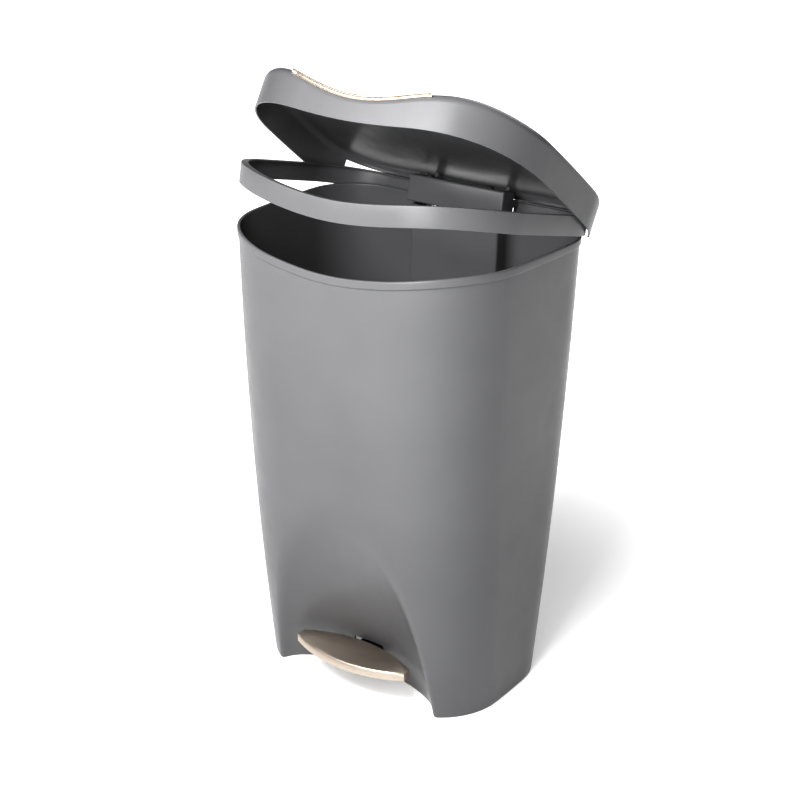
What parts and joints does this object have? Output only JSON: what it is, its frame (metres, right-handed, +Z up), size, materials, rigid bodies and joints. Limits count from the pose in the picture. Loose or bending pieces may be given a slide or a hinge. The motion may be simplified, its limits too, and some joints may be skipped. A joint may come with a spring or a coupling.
{
  "type": "pedal trash can",
  "caption": "Tapered plastic kitchen bin, open: a rear-hinged lid and bag ring, with a foot pedal in a scooped recess lifting the lid by a lever and push rod.",
  "frame": {"origin": "on the floor under the middle of the rim", "axes": "+Z up, -Y towards the pedal and the user, X = 0 the plane of symmetry, +X to the right of the plane when seen from behind the pedal side looking along +Y"},
  "size_m": [0.4084, 0.3474, 0.8138],
  "materials": {
    "body_plastic": "satin moulded polypropylene, mid grey",
    "ring_plastic": "satin moulded polypropylene, mid grey",
    "lid_plastic": "satin moulded polypropylene, mid grey",
    "satin_metal": "satin anodised, warm champagne",
    "steel": "bright zinc plated",
    "frame_steel": "dark powder coat",
    "guide_plastic": "natural black acetal",
    "soft_rubber": "matt black"
  },
  "bodies": {
    "bin": {"bin_body": "body_plastic", "channel_cover": "body_plastic", "hinge_pin_left": "steel", "hinge_pin_right": "steel", "pivot_bracket_left": "frame_steel", "pivot_bracket_right": "frame_steel", "pivot_axle": "steel", "axle_clips": "steel", "bracket_screws": "steel", "rod_guide_lower": "guide_plastic", "rod_guide_upper": "guide_plastic", "guide_screws": "steel", "foot_front_left": "soft_rubber", "foot_back_left": "soft_rubber", "foot_front_right": "soft_rubber", "foot_back_right": "soft_rubber"},
    "lid": {"lid_shell": "lid_plastic", "lid_trim": "satin_metal", "crank_bar": "steel"},
    "ring": {"bag_ring": "ring_plastic", "lid_bumper_left": "soft_rubber", "lid_bumper_right": "soft_rubber"},
    "pedal": {"pedal_plate": "satin_metal", "pedal_lever": "frame_steel", "pedal_screws": "steel"},
    "rod": {"push_rod": "steel"}
  },
  "joints": [
    {"name": "lid_hinge", "type": "hinge", "parent": "bin", "child": "lid", "pos_m": [0, 0.1506, 0.5907], "axis": [-1, 0, 0], "range_deg": [-33.3, 33]},
    {"name": "ring_hinge", "type": "hinge", "parent": "bin", "child": "ring", "pos_m": [0, 0.1506, 0.5907], "axis": [-1, 0, 0], "range_deg": [-13.2, 13.2]},
    {"name": "pedal_pivot", "type": "hinge", "parent": "bin", "child": "pedal", "pos_m": [0, 0.02, 0.042], "axis": [1, 0, 0], "range_deg": [-5.95, 5.95]},
    {"name": "rod_slide", "type": "slide", "parent": "bin", "child": "rod", "axis": [0, 0.0676, 0.9977], "range_m": [-0.0083, 0.0083]}
  ],
  "couplings": [
    {"joint": "ring_hinge", "follows": "lid_hinge", "ratio": 0.396},
    {"joint": "pedal_pivot", "follows": "lid_hinge", "ratio": 0.1772},
    {"joint": "rod_slide", "follows": "lid_hinge", "m_per_rad": 0.014}
  ]
}
